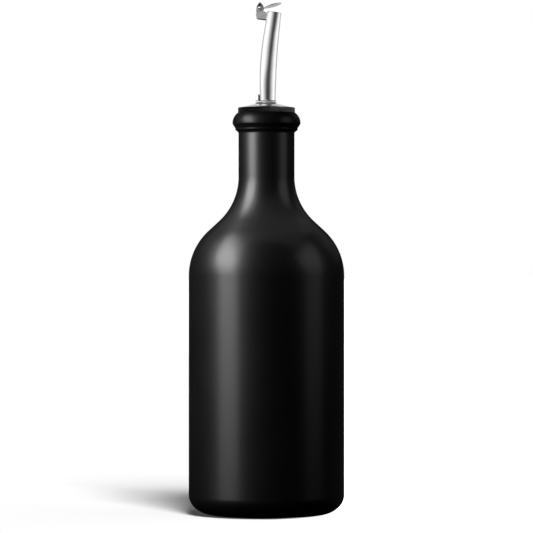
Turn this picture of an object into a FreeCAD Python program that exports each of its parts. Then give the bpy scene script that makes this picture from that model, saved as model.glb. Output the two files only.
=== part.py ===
import FreeCAD, Part
import math
import os

os.makedirs("parts", exist_ok=True)

Vector = FreeCAD.Vector
Rotation = FreeCAD.Rotation
Placement = FreeCAD.Placement

# Millimetres and degrees. The origin is the centre of the bottle's foot and +Z runs up its
# axis. The pourer is drawn with its spout leaning towards +X, then turned by POURER_TURN.

# Stoneware bottle: foot, cylinder, domed shoulder, waisted neck and a heavy bevelled lip.
BODY_RADIUS = 40.0
FOOT_RADIUS = 27.0
FOOT_CORNER_HEIGHT = 10.0
SHOULDER_START = 122.7
SHOULDER_RADIUS = 31.5
THROAT_RADIUS = 31.0
NECK_RADIUS = 14.4
NECK_START = 173.7
NECK_TOP = 195.5
NECK_TOP_FILLET = 1.2
LIP_LAND_RADIUS = 16.05
LIP_LAND_BOTTOM = 197.6
LIP_LAND_TOP = 198.55
LIP_LAND_FILLET = 0.25
LIP_RADIUS = 17.5
LIP_EDGE_HEIGHT = 200.5
LIP_EDGE_FILLET = 0.8
LIP_ROUND_CENTRE = 200.9
LIP_ROUND_RADIUS = 7.0
BOTTLE_HEIGHT = 206.6

# Stopper: a disc that rests on the lip and a plug that fills the mouth of the neck.
STOPPER_RADIUS = 14.65
STOPPER_THICKNESS = 2.7
STOPPER_TOP_FILLET = 0.5
STOPPER_BOTTOM_FILLET = 0.25
PLUG_RADIUS = 9.5
PLUG_LENGTH = 20.0

# Flange: a domed steel disc on the stopper.
FLANGE_RADIUS = 12.0
FLANGE_EDGE = 0.5
FLANGE_RISE = 1.9

# Collar: the low turned boss round the feet of the two tubes.
COLLAR_OFFSET = -0.2
COLLAR_RADIUS = 5.15
COLLAR_FOOT_RADIUS = 5.55
COLLAR_FOOT_HEIGHT = 0.6
COLLAR_TOP = 213.1
COLLAR_FILLET = 0.35

# Spout tube: straight root, one bend, straight end. Its bore narrows towards both ends.
SPOUT_OFFSET = 0.73
SPOUT_WALL = 0.4
SPOUT_ROOT_RADIUS = 3.85
SPOUT_BELLY_RADIUS = 4.41
SPOUT_MOUTH_RADIUS = 3.62
SPOUT_BELLY_HEIGHT = 230.0
SPOUT_BEND_START = 220.0
SPOUT_BEND_END = 247.0
SPOUT_MOUTH_HEIGHT = 258.4
SPOUT_LEAN = 8.1
SPOUT_SECTIONS = 10

# Vent tube: thin and straight, standing behind the spout.
VENT_RADIUS = 1.15
VENT_BORE_RADIUS = 0.8
VENT_DISTANCE = 5.27
VENT_TOP = 216.2

# Hinge bracket: a folded channel on the back of the spout, near its mouth.
PIN_BACK = 7.8
PIN_RISE = 0.5
BRACKET_HALF_WIDTH = 1.0
BRACKET_WALL = 0.4
BRACKET_LOBE_RADIUS = 1.5
BRACKET_DEPTH = 5.0
BRACKET_HEEL_RADIUS = 1.5
BRACKET_SHOULDER = -0.2
BRACKET_FRONT = -0.9

# Hinge pin, with a domed head at each end.
PIN_RADIUS = 0.5
PIN_HEAD_RADIUS = 1.1
PIN_HEAD_START = 1.9
PIN_HEAD_HEIGHT = 0.4

# Flap lid: a dished cover, a neck and a hood of two cheeks that straddle the bracket.
LID_RADIUS = 4.65
LID_CENTRE = -0.8
LID_SHEET = 0.4
LID_RIM = 0.7
LID_EDGE_FILLET = 0.13
LID_DISH = 0.55
LID_DISH_MIDWAY = 0.41
LID_CLOSED_GAP = 0.08
LID_REST_ANGLE = 24.2
NECK_HALF_WIDTH = 1.3
HOOD_FRONT_HALF_WIDTH = 1.5
HOOD_BACK_HALF_WIDTH = 1.9
HOOD_HALF_LENGTH = 1.6
HOOD_LOFT_REACH = 2
HOOD_TIP = 3.65
HOOD_BOTTOM = -0.95
HOOD_TILT = 16.1
HOOD_BEND = 1.5
HOOD_RIDGE_HALF_WIDTH = 0.45
HOOD_RIDGE_DEPTH = 0.6
HOOD_RIDGE_GAP = 0.1
HOOD_LOBE_GAP = 0.15
HOOD_PIN_CLEARANCE = 0.05

POURER_TURN = -16.0

# What follows from the dimensions above.
STOPPER_TOP = BOTTLE_HEIGHT + STOPPER_THICKNESS
PLUG_BOTTOM = BOTTLE_HEIGHT - PLUG_LENGTH
BEND_RADIUS = (SPOUT_BEND_END - SPOUT_BEND_START) / math.sin(math.radians(SPOUT_LEAN))
VENT_OFFSET = SPOUT_OFFSET - VENT_DISTANCE
Z_AXIS = Vector(0, 0, 1)
Y_AXIS = Vector(0, 1, 0)
ORIGIN = Vector(0, 0, 0)


def point(x, z):
    """A point of a side view."""
    return Vector(x, 0, z)


def arc_through(start, middle, end):
    return Part.Arc(start, middle, end).toShape()


def arc_about(centre, radius, start, end):
    """The short arc about a centre, from the direction of start to the direction of end."""
    half_way = (start - centre).normalize() + (end - centre).normalize()
    middle = centre + half_way.normalize() * radius
    return arc_through(start, middle, end)


def rounded_path(corners):
    """Lines through (x, z, fillet radius) corners, each joined to the next by a tangent arc."""
    points = [point(x, z) for x, z, _ in corners]
    edges = []
    start = points[0]
    for before, corner, after, (_, _, radius) in zip(points, points[1:], points[2:], corners[1:]):
        back = (before - corner).normalize()
        ahead = (after - corner).normalize()
        half_angle = back.getAngle(ahead) / 2
        leave = corner + back * (radius / math.tan(half_angle))
        join = corner + ahead * (radius / math.tan(half_angle))
        centre = corner + (back + ahead).normalize() * (radius / math.sin(half_angle))
        middle = centre + (corner - centre).normalize() * radius
        edges.append(Part.makeLine(start, leave))
        edges.append(arc_through(leave, middle, join))
        start = join
    edges.append(Part.makeLine(start, points[-1]))
    return edges


def polyline(*points):
    return [Part.makeLine(start, end) for start, end in zip(points, points[1:])]


def revolved(edges, centre=ORIGIN):
    """A solid of revolution about the vertical line through centre."""
    outline = Part.Wire(Part.__sortEdges__(edges))
    return Part.Face(outline).revolve(centre, Z_AXIS, 360)


def prism_across(edges, half_width):
    """A side view made solid from -half_width to +half_width across the pourer."""
    face = Part.Face(Part.Wire(Part.__sortEdges__(edges)))
    face.translate(Vector(0, -half_width, 0))
    return face.extrude(Vector(0, 2 * half_width, 0))


def upright_cylinder(x, radius, bottom, top):
    return Part.makeCylinder(radius, top - bottom, Vector(x, 0, bottom), Z_AXIS)


def shoulder_edges():
    """The domed shoulder, a short straight flank and the hollow throat, tangent in turn."""
    shoulder_centre = point(BODY_RADIUS - SHOULDER_RADIUS, SHOULDER_START)
    throat_centre = point(NECK_RADIUS + THROAT_RADIUS, NECK_START)
    across = throat_centre - shoulder_centre
    spread = math.acos((SHOULDER_RADIUS + THROAT_RADIUS) / across.Length)
    angle = math.atan2(across.z, across.x) - spread
    outward = point(math.cos(angle), math.sin(angle))
    flank_start = shoulder_centre + outward * SHOULDER_RADIUS
    flank_end = throat_centre - outward * THROAT_RADIUS
    body_end = point(BODY_RADIUS, SHOULDER_START)
    neck_start = point(NECK_RADIUS, NECK_START)
    return [
        arc_about(shoulder_centre, SHOULDER_RADIUS, body_end, flank_start),
        Part.makeLine(flank_start, flank_end),
        arc_about(throat_centre, THROAT_RADIUS, flank_end, neck_start),
    ]


def stoneware_bottle():
    """The fired body, solid inside, with a socket in its neck for the stopper's plug."""
    corner_centre = point(FOOT_RADIUS, FOOT_CORNER_HEIGHT)
    corner_wide = point(BODY_RADIUS, FOOT_CORNER_HEIGHT)
    foot_edge = point(FOOT_RADIUS, 0)
    ellipse = Part.Ellipse(corner_wide, foot_edge, corner_centre)
    corner = Part.Arc(ellipse, 0, math.pi / 2).toShape()
    lip_centre = point(LIP_RADIUS - LIP_ROUND_RADIUS, LIP_ROUND_CENTRE)
    lip_side = point(LIP_RADIUS, LIP_ROUND_CENTRE)
    lip_reach = math.sqrt(LIP_ROUND_RADIUS ** 2 - (BOTTLE_HEIGHT - LIP_ROUND_CENTRE) ** 2)
    lip_top = point(lip_centre.x + lip_reach, BOTTLE_HEIGHT)
    neck_and_lip = rounded_path([
        (NECK_RADIUS, NECK_START, 0),
        (NECK_RADIUS, NECK_TOP, NECK_TOP_FILLET),
        (LIP_LAND_RADIUS, LIP_LAND_BOTTOM, LIP_LAND_FILLET),
        (LIP_LAND_RADIUS, LIP_LAND_TOP, LIP_LAND_FILLET),
        (LIP_RADIUS, LIP_EDGE_HEIGHT, LIP_EDGE_FILLET),
        (LIP_RADIUS, LIP_ROUND_CENTRE, 0),
    ])
    mouth = polyline(
        lip_top,
        point(PLUG_RADIUS, BOTTLE_HEIGHT),
        point(PLUG_RADIUS, PLUG_BOTTOM),
        point(0, PLUG_BOTTOM),
        point(0, 0),
        foot_edge,
    )
    side = Part.makeLine(corner_wide, point(BODY_RADIUS, SHOULDER_START))
    lip_round = arc_about(lip_centre, LIP_ROUND_RADIUS, lip_side, lip_top)
    return revolved([corner, side] + shoulder_edges() + neck_and_lip + [lip_round] + mouth)


def spout_radius(height):
    """Outer radius, falling from the belly to the root and to the mouth as a cosine."""
    if height > SPOUT_BELLY_HEIGHT:
        end_height, end_radius = SPOUT_MOUTH_HEIGHT, SPOUT_MOUTH_RADIUS
    else:
        end_height, end_radius = STOPPER_TOP, SPOUT_ROOT_RADIUS
    along = (height - SPOUT_BELLY_HEIGHT) / (end_height - SPOUT_BELLY_HEIGHT)
    fall = 1 - math.cos(min(along, 1) * math.pi / 2)
    return SPOUT_BELLY_RADIUS + (end_radius - SPOUT_BELLY_RADIUS) * fall


def spout_centre(height):
    """The centre line at a height, and its lean there: straight, one arc, straight."""
    rise = min(max(height - SPOUT_BEND_START, 0), SPOUT_BEND_END - SPOUT_BEND_START)
    lean = math.asin(rise / BEND_RADIUS)
    beyond = max(height - SPOUT_BEND_END, 0)
    x = SPOUT_OFFSET + BEND_RADIUS * (1 - math.cos(lean)) + beyond * math.tan(lean)
    return point(x, height), lean


def spout_skin(inset):
    """The solid inside the spout's surface, moved inwards by inset."""
    rings = []
    for step in range(SPOUT_SECTIONS + 1):
        height = STOPPER_TOP + (SPOUT_MOUTH_HEIGHT - STOPPER_TOP) * step / SPOUT_SECTIONS
        centre, lean = spout_centre(height)
        normal = Vector(math.sin(lean), 0, math.cos(lean))
        rings.append(Part.Wire(Part.makeCircle(spout_radius(height) - inset, centre, normal)))
    upper = Part.makeLoft(rings, True)
    root = upright_cylinder(SPOUT_OFFSET, SPOUT_ROOT_RADIUS - inset, PLUG_BOTTOM, STOPPER_TOP)
    return upper.fuse(root).removeSplitter()


def vent_outside():
    return upright_cylinder(VENT_OFFSET, VENT_RADIUS, PLUG_BOTTOM, VENT_TOP)


def tube_outsides():
    """Both tubes as plain rods, to be cut from what they pass through."""
    return spout_skin(0).fuse(vent_outside())


def stopper():
    """Disc on the lip with the plug below it, pierced by both tubes."""
    outline = rounded_path([
        (0, STOPPER_TOP, 0),
        (STOPPER_RADIUS, STOPPER_TOP, STOPPER_TOP_FILLET),
        (STOPPER_RADIUS, BOTTLE_HEIGHT, STOPPER_BOTTOM_FILLET),
        (PLUG_RADIUS, BOTTLE_HEIGHT, 0),
    ])
    plug = polyline(
        point(PLUG_RADIUS, BOTTLE_HEIGHT),
        point(PLUG_RADIUS, PLUG_BOTTOM),
        point(0, PLUG_BOTTOM),
        point(0, STOPPER_TOP),
    )
    return revolved(outline + plug).cut(tube_outsides())


def flange_blank():
    """The domed disc before the tubes pierce it."""
    edge_top = point(FLANGE_RADIUS, STOPPER_TOP + FLANGE_EDGE)
    crown_height = edge_top.z + FLANGE_RISE
    sphere_radius = (FLANGE_RADIUS ** 2 + FLANGE_RISE ** 2) / (2 * FLANGE_RISE)
    crown = point(0, crown_height)
    dome = arc_about(point(0, crown_height - sphere_radius), sphere_radius, edge_top, crown)
    rest = polyline(crown, point(0, STOPPER_TOP), point(FLANGE_RADIUS, STOPPER_TOP), edge_top)
    return revolved([dome] + rest)


def pourer_flange():
    return flange_blank().cut(tube_outsides())


def spout_collar():
    """A boss with a stepped foot, seated on the dome of the flange."""
    foot_top = STOPPER_TOP + FLANGE_EDGE + FLANGE_RISE + COLLAR_FOOT_HEIGHT / 2
    axis = point(COLLAR_OFFSET, 0)
    outline = rounded_path([
        (0, COLLAR_TOP, 0),
        (COLLAR_RADIUS, COLLAR_TOP, COLLAR_FILLET),
        (COLLAR_RADIUS, foot_top, COLLAR_FILLET),
        (COLLAR_FOOT_RADIUS, foot_top - COLLAR_FOOT_HEIGHT, 0),
    ])
    inside = polyline(
        point(COLLAR_FOOT_RADIUS, foot_top - COLLAR_FOOT_HEIGHT),
        point(COLLAR_FOOT_RADIUS, STOPPER_TOP),
        point(0, STOPPER_TOP),
        point(0, COLLAR_TOP),
    )
    boss = revolved(outline + inside)
    boss.translate(axis)
    return boss.cut(flange_blank()).cut(tube_outsides())


def spout_tube():
    """The pouring tube, open from the plug's end to the mouth."""
    return spout_skin(0).cut(spout_skin(SPOUT_WALL))


def vent_tube():
    bore = upright_cylinder(VENT_OFFSET, VENT_BORE_RADIUS, PLUG_BOTTOM, VENT_TOP)
    return vent_outside().cut(bore)


def at_mouth(shape):
    """Move a shape drawn about the mouth's centre, with z along the tube, to its place."""
    centre, _ = spout_centre(SPOUT_MOUTH_HEIGHT)
    moved = shape.copy()
    moved.Placement = Placement(centre, Rotation(Y_AXIS, SPOUT_LEAN)).multiply(moved.Placement)
    return moved


def pin_bar(radius, half_length):
    """A round bar on the hinge axis, drawn about the mouth's centre."""
    start = Vector(-PIN_BACK, -half_length, PIN_RISE)
    return Part.makeCylinder(radius, 2 * half_length, start, Y_AXIS)


def bracket_side():
    """Side view of the channel: a lobe round the pin, a rounded heel and a sloping top."""
    pin = point(-PIN_BACK, PIN_RISE)
    back = -PIN_BACK - BRACKET_LOBE_RADIUS
    drop = BRACKET_SHOULDER - PIN_RISE
    reach = math.sqrt(BRACKET_LOBE_RADIUS ** 2 - drop ** 2)
    shoulder = point(reach - PIN_BACK, BRACKET_SHOULDER)
    lobe_top = pin + point(0, BRACKET_LOBE_RADIUS)
    lobe = arc_through(point(back, PIN_RISE), lobe_top, shoulder)
    heel = rounded_path([
        (back, PIN_RISE, 0),
        (back, -BRACKET_DEPTH, BRACKET_HEEL_RADIUS),
        (0, -BRACKET_DEPTH, 0),
    ])
    front = polyline(
        point(0, -BRACKET_DEPTH),
        point(0, BRACKET_FRONT),
        point(-SPOUT_MOUTH_RADIUS, BRACKET_FRONT),
        shoulder,
    )
    return [lobe] + heel + front


def channel_space(half_width, top):
    """A round-bottomed trough of the given half width, running back from the tube."""
    length = PIN_BACK + 2 * BRACKET_LOBE_RADIUS
    centre = BRACKET_HALF_WIDTH - BRACKET_DEPTH
    round_bottom = Part.makeCylinder(
        half_width, length, Vector(-length, 0, centre), Vector(1, 0, 0)
    )
    corner = Vector(-length, -half_width, centre)
    walls = Part.makeBox(length, 2 * half_width, top - centre, corner)
    return round_bottom.fuse(walls)


def hinge_bracket():
    """The round-bottomed channel, its end against the tube and its cheeks holding the pin."""
    top = PIN_RISE + 2 * BRACKET_LOBE_RADIUS
    side = prism_across(bracket_side(), BRACKET_HALF_WIDTH)
    folded = side.common(channel_space(BRACKET_HALF_WIDTH, top))
    folded = folded.cut(channel_space(BRACKET_HALF_WIDTH - BRACKET_WALL, top))
    folded = folded.cut(pin_bar(PIN_RADIUS, PIN_HEAD_START))
    return at_mouth(folded).cut(spout_skin(0))


def hinge_pin():
    """The shank and its two domed heads."""
    pin = pin_bar(PIN_RADIUS, PIN_HEAD_START)
    dome_radius = (PIN_HEAD_RADIUS ** 2 + PIN_HEAD_HEIGHT ** 2) / (2 * PIN_HEAD_HEIGHT)
    sink = dome_radius - PIN_HEAD_HEIGHT
    for side in (-1, 1):
        face = Vector(-PIN_BACK, side * PIN_HEAD_START, PIN_RISE)
        ball = Part.makeSphere(dome_radius, face - Vector(0, side * sink, 0))
        bar = Part.makeCylinder(PIN_HEAD_RADIUS, PIN_HEAD_HEIGHT, face, Vector(0, side, 0))
        pin = pin.fuse(ball.common(bar))
    return at_mouth(pin.removeSplitter())


def lid_cover():
    """The dished cover: a flat rim and a low dome, drawn about the mouth's centre."""
    low = LID_CLOSED_GAP
    high = low + LID_SHEET
    inner_rim = LID_RADIUS - LID_RIM
    faces = [
        arc_through(
            point(0, face + LID_DISH),
            point(inner_rim / 2, face + LID_DISH_MIDWAY),
            point(inner_rim, face),
        )
        for face in (low, high)
    ]
    rim = rounded_path([
        (inner_rim, low, 0),
        (LID_RADIUS, low, LID_EDGE_FILLET),
        (LID_RADIUS, high, LID_EDGE_FILLET),
        (inner_rim, high, 0),
    ])
    axis = polyline(point(0, low + LID_DISH), point(0, high + LID_DISH))
    cover = revolved(faces + rim + axis)
    cover.translate(point(LID_CENTRE, 0))
    return cover


def hood_gable(x, half_width, bend, tip, ridge):
    """Section of the hood at x behind the mouth: upright cheeks that lean in to a ridge."""
    outline = [
        (-half_width, -HOOD_TIP),
        (-half_width, bend),
        (-ridge, tip),
        (ridge, tip),
        (half_width, bend),
        (half_width, -HOOD_TIP),
    ]
    return Part.makePolygon([Vector(x, y, PIN_RISE + z) for y, z in outline + outline[:1]])


def hood_block(inset, tip, ridge):
    """The hood's bulk, narrower in front, with its cheeks moved inwards by inset."""
    taper = (HOOD_BACK_HALF_WIDTH - HOOD_FRONT_HALF_WIDTH) / 2
    middle = (HOOD_BACK_HALF_WIDTH + HOOD_FRONT_HALF_WIDTH) / 2 - inset
    ends = []
    for side in (-HOOD_LOFT_REACH, HOOD_LOFT_REACH):
        x = side * HOOD_HALF_LENGTH - PIN_BACK
        ends.append(hood_gable(x, middle - side * taper, HOOD_BEND, tip, ridge))
    return Part.makeLoft(ends, True, True)


def hood_side():
    """Side view of a cheek: a pointed arch that leans forward over a flat bottom."""
    half = HOOD_HALF_LENGTH
    arch_radius = (half ** 2 + HOOD_TIP ** 2) / (2 * half)
    tip = point(0, HOOD_TIP)
    front = point(half, 0)
    back = point(-half, 0)
    legs = polyline(front, point(half, -HOOD_TIP), point(-half, -HOOD_TIP), back)
    edges = [
        arc_about(point(half - arch_radius, 0), arch_radius, front, tip),
        arc_about(point(arch_radius - half, 0), arch_radius, back, tip),
    ]
    arch = prism_across(edges + legs, 2 * HOOD_BACK_HALF_WIDTH)
    arch.Placement = Placement(point(-PIN_BACK, PIN_RISE), Rotation(Y_AXIS, HOOD_TILT))
    below = 2 * HOOD_TIP
    corner = Vector(-PIN_BACK - below, -below, PIN_RISE + HOOD_BOTTOM - below)
    return arch.cut(Part.makeBox(2 * below, 2 * below, below, corner))


def lid_hood():
    """Two cheeks beside the bracket that lean together into a pointed ridge above it."""
    inside = hood_block(LID_SHEET, HOOD_TIP - HOOD_RIDGE_DEPTH, HOOD_RIDGE_GAP / 2)
    return hood_side().common(hood_block(0, HOOD_TIP, HOOD_RIDGE_HALF_WIDTH)).cut(inside)


def lid_neck():
    """The strip from the cover back to the hood's cheeks, notched to clear the bracket."""
    start = -PIN_BACK
    notch = start + BRACKET_LOBE_RADIUS + HOOD_LOBE_GAP
    end = LID_CENTRE - LID_RADIUS + LID_RIM
    outline = [
        (start, -HOOD_FRONT_HALF_WIDTH),
        (notch, -HOOD_FRONT_HALF_WIDTH),
        (end, -NECK_HALF_WIDTH),
        (end, NECK_HALF_WIDTH),
        (notch, HOOD_FRONT_HALF_WIDTH),
        (start, HOOD_FRONT_HALF_WIDTH),
    ]
    wire = Part.makePolygon([Vector(x, y, LID_CLOSED_GAP) for x, y in outline + outline[:1]])
    strip = Part.Face(wire).extrude(Vector(0, 0, LID_SHEET))
    gap = HOOD_FRONT_HALF_WIDTH - LID_SHEET
    corner = Vector(start, -gap, -LID_SHEET)
    return strip.cut(Part.makeBox(notch - start, 2 * gap, 3 * LID_SHEET, corner))


def flap_lid():
    """Cover, neck and hood as one pressed sheet, opened about the pin by the rest angle."""
    closed = lid_cover().fuse(lid_neck()).fuse(lid_hood())
    eye = pin_bar(PIN_RADIUS + HOOD_PIN_CLEARANCE, 2 * HOOD_BACK_HALF_WIDTH)
    opened = closed.cut(eye).removeSplitter()
    opened.rotate(point(-PIN_BACK, PIN_RISE), Y_AXIS, -LID_REST_ANGLE)
    return at_mouth(opened)


def turned(shape):
    """Turn a finished piece of the pourer about the bottle's axis."""
    moved = shape.copy()
    moved.rotate(ORIGIN, Z_AXIS, POURER_TURN)
    return moved


def write(name, shape):
    """Write one finished solid as its own STEP file."""
    (solid,) = shape.Solids
    solid.exportStep(os.path.join("parts", name + ".step"))


BOTTLE_PIECES = {
    "stoneware_bottle": stoneware_bottle,
    "stopper": stopper,
    "pourer_flange": pourer_flange,
    "spout_collar": spout_collar,
    "spout_tube": spout_tube,
    "vent_tube": vent_tube,
    "hinge_bracket": hinge_bracket,
    "hinge_pin": hinge_pin,
    "flap_lid": flap_lid,
}

for piece_name, build in BOTTLE_PIECES.items():
    write(piece_name, turned(build()))
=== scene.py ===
import math

import bpy
import numpy as np
from mathutils import Matrix, Vector


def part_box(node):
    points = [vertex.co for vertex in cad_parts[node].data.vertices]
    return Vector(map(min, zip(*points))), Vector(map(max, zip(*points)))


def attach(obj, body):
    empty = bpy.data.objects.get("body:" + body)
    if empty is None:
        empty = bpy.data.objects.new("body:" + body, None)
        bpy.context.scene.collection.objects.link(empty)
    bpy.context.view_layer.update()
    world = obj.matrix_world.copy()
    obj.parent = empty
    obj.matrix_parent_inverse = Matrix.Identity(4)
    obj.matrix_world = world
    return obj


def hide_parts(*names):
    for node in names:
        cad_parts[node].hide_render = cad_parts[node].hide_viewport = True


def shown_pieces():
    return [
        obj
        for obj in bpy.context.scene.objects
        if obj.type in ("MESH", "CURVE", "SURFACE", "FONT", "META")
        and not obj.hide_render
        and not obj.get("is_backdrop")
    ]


bl_info = {
    "name": "Stoneware oil bottle",
    "version": (1, 0, 0),
    "blender": (4, 5, 0),
    "location": "3D View > Sidebar > Oil Bottle",
    "description": "Dresses the black stoneware oil bottle and its steel pourer",
    "category": "Add Mesh",
}

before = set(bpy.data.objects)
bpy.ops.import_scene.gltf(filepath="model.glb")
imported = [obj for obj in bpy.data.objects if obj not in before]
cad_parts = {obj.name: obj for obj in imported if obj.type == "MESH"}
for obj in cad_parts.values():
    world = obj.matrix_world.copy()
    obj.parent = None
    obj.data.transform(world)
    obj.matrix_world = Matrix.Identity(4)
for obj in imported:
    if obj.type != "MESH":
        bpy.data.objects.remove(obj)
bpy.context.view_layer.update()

MM = 0.001
FULL_TURN = 2 * math.pi
HIDDEN = 0.5 * MM  # how near the axis a hidden face stops; a fan of triangles closes it
POLE = 0.01  # angle by which a half circle stops short of the axis, in radians


def length(name, description, millimetres):
    """A size in the sidebar, given here in millimetres and held in metres."""
    return bpy.props.FloatProperty(
        name=name, description=description, default=millimetres * MM,
        precision=5, subtype="DISTANCE", unit="LENGTH",
    )


def angle(name, description, degrees):
    """An angle in the sidebar, given here in degrees and held in radians."""
    return bpy.props.FloatProperty(
        name=name, description=description, default=math.radians(degrees), subtype="ANGLE", unit="ROTATION"
    )


def share(name, description, default):
    """A number from nothing to all."""
    return bpy.props.FloatProperty(name=name, description=description, default=default, min=0.0, max=1.0)


def amount(name, description, default):
    """A brightness, from nothing up."""
    return bpy.props.FloatProperty(name=name, description=description, default=default, min=0.0)


def colour(name, description, default):
    """A colour in the sidebar, in linear light."""
    return bpy.props.FloatVectorProperty(
        name=name, description=description, default=default, size=3, min=0.0, max=1.0, subtype="COLOR"
    )


def bottom(node):
    """How high a CAD node begins."""
    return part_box(node)[0].z


def top(node):
    """How high a CAD node ends."""
    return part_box(node)[1].z


# ---------------------------------------------------------------- sizes and colours


class BottleLook(bpy.types.PropertyGroup):
    """The stoneware: its silhouette, from the foot up, and its glaze."""

    body_radius: length("Body radius", "Half the width of the body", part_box("stoneware_bottle")[1].x / MM)
    foot_radius: length("Foot radius", "Edge of the flat foot", 27.0)
    foot_corner: length("Foot corner", "Height of the rounded corner above the foot", 10.0)
    shoulder_start: length("Shoulder start", "Height where the cylinder turns into the shoulder", 122.7)
    shoulder_radius: length("Shoulder radius", "Radius of the domed shoulder", 31.5)
    throat_radius: length("Throat radius", "Radius of the hollow between shoulder and neck", 31.0)
    neck_radius: length("Neck radius", "Half the width of the neck", 14.4)
    neck_start: length("Neck start", "Height where the throat runs into the neck", 173.7)
    neck_top: length("Neck top", "Height of the neck's end under the lip", 196.4)
    neck_fillet: length("Neck fillet", "Rounding where the lip grows out of the neck", 1.2)
    land_radius: length("Land radius", "Radius of the narrow band under the lip", 16.05)
    land_bottom: length("Land bottom", "Lower edge of that band", 197.75)
    land_top: length("Land top", "Upper edge of that band", 198.6)
    land_fillet: length("Land fillet", "Rounding of the band's edges", 0.25)
    lip_radius: length("Lip radius", "Widest part of the lip", 17.5)
    lip_edge: length("Lip edge", "Height of the lip's lower edge", 200.85)
    lip_fillet: length("Lip fillet", "Rounding of that edge", 0.8)
    lip_centre: length("Lip centre", "Height of the centre of the lip's round", 201.3)
    lip_round: length("Lip round", "Radius of the lip's round", 6.5)
    glaze: colour("Glaze", "Matte black glaze", (0.0012, 0.0012, 0.0013))
    thin_glaze: colour("Thin glaze", "Glaze where it draws thin on edges", (0.003, 0.0027, 0.0026))
    clay: colour("Clay", "Unglazed stoneware under the foot", (0.36, 0.29, 0.22))
    roughness: share("Glaze roughness", "Roughness of the fired glaze", 0.28)
    # Painted shade: how far the mirror of the lip and the band under it is dimmed.
    lip_reflection_shade: share("Lip reflection shade", "How far the lip's mirror is dimmed as painted shade", 0.97)


class PourerLook(bpy.types.PropertyGroup):
    """Stopper, flange, collar and the two tubes, drawn with the spout leaning towards +X."""

    turn: angle("Turn", "Turn of the whole pourer about the bottle's axis", -16.0)
    stopper_radius: length("Stopper radius", "Half the width of the stopper's head", 14.65)
    stopper_edge: length("Stopper edge", "Rounding of the head's upper edge", 0.5)
    stopper_foot: length("Stopper foot", "Rounding of the head's lower edge", 0.25)
    plug_radius: length("Plug radius", "Half the width of the plug in the neck", 9.5)
    flange_radius: length("Flange radius", "Half the width of the steel disc", 11.7)
    flange_edge: length("Flange edge", "Height of the disc's upright rim", 0.38)
    flange_rise: length("Flange rise", "Rise of the dome above its rim", 2.02)
    collar_offset: length("Collar offset", "Place of the collar's centre along the lean", -0.2)
    collar_radius: length("Collar radius", "Half the width of the collar", 5.15)
    collar_foot: length("Collar foot", "Half the width of its stepped foot", 5.55)
    collar_step: length("Collar step", "Height of that step", 0.6)
    collar_edge: length("Collar edge", "Rounding of the collar's edges", 0.35)
    spout_offset: length("Spout offset", "Place of the spout's root along the lean", 0.73)
    wall: length("Tube wall", "Thickness of the spout's wall", 0.4)
    root_radius: length("Root radius", "Spout radius at the stopper", 3.85)
    belly_radius: length("Belly radius", "Widest spout radius", 4.41)
    mouth_radius: length("Mouth radius", "Spout radius at the mouth", 3.62)
    belly_height: length("Belly height", "Height of the widest part", 230.0)
    bend_start: length("Bend start", "Height where the spout begins to bend", 220.0)
    bend_end: length("Bend end", "Height where it runs straight again", 247.0)
    mouth_height: length("Mouth height", "Height of the centre of the mouth", 258.4)
    lean: angle("Lean", "Lean of the spout's end from upright", 8.1)
    vent_radius: length("Vent radius", "Half the width of the vent pipe", 1.15)
    vent_bore: length("Vent bore", "Half the width of its bore", 0.8)
    vent_distance: length("Vent distance", "From the spout's axis back to the vent's", 5.27)
    bead_radius: length("Bead radius", "Size of the weld bead on the collar", 0.62)
    seam_hollow: length("Seam hollow", "Radius of the braze's hollow between the tubes", 1.1)
    braze_climb: length("Braze climb", "Height of the braze round a tube's foot", 0.5)
    plastic: colour("Stopper plastic", "Satin black moulding", (0.011, 0.011, 0.012))
    steel: colour("Polished steel", "Colour of the polished steel", (0.80, 0.80, 0.80))


class LidLook(bpy.types.PropertyGroup):
    """Bracket, pin and flap, drawn about the mouth's centre with z along the tube."""

    pin_back: length("Pin back", "Hinge axis behind the mouth's centre", 7.8)
    pin_rise: length("Pin rise", "Hinge axis above the mouth's plane", 0.5)
    bracket_half: length("Bracket half width", "Half the width of the folded channel", 1.0)
    sheet: length("Sheet", "Thickness of the pressed sheet", 0.4)
    lobe: length("Lobe", "Radius of the bracket's lobe and heel", 1.5)
    depth: length("Depth", "Channel below the mouth's plane", 5.0)
    shoulder: length("Shoulder", "Height where the lobe meets the sloping edge", -0.2)
    front: length("Front", "Height of the sloping edge at the tube", -0.9)
    shank: length("Shank", "Pin radius", 0.5)
    head: length("Head", "Pin head radius", 1.1)
    head_start: length("Head start", "Pin head distance from the middle", 1.9)
    head_height: length("Head height", "Height of the domed head", 0.4)
    cover_radius: length("Cover radius", "Half the width of the cover", 4.65)
    cover_centre: length("Cover centre", "Place of the cover's centre", -0.8)
    rim: length("Rim", "Width of the cover's flat rim", 0.7)
    dish: length("Dish", "Rise of the cover's dome", 0.55)
    gap: length("Gap", "Cover above the mouth when shut", 0.08)
    rest: angle("Rest angle", "How far the flap stands open", 24.2)
    neck_half: length("Neck half width", "Half the width of the strip at the cover", 1.3)
    hood_front: length("Hood front", "Half the width of the hood in front", 1.5)
    hood_back: length("Hood back", "Half the width of the hood behind", 1.9)
    hood_half: length("Hood half length", "Half the length of a cheek", 1.6)
    hood_tip: length("Hood tip", "Height of the hood's point above the pin", 3.65)
    hood_bottom: length("Hood bottom", "Lower edge of the cheeks", -0.95)
    hood_tilt: angle("Hood tilt", "Forward tilt of the hood on the shut flap", 16.1)
    hood_bend: length("Hood bend", "Height where the cheeks begin to lean in", 1.5)
    ridge_half: length("Ridge half width", "Half the width of the hood's ridge", 0.45)
    ridge_depth: length("Ridge depth", "Solid height of the ridge", 0.6)
    pressed: colour("Pressed steel", "Colour of the pressed sheet", (0.77, 0.77, 0.77))


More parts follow.
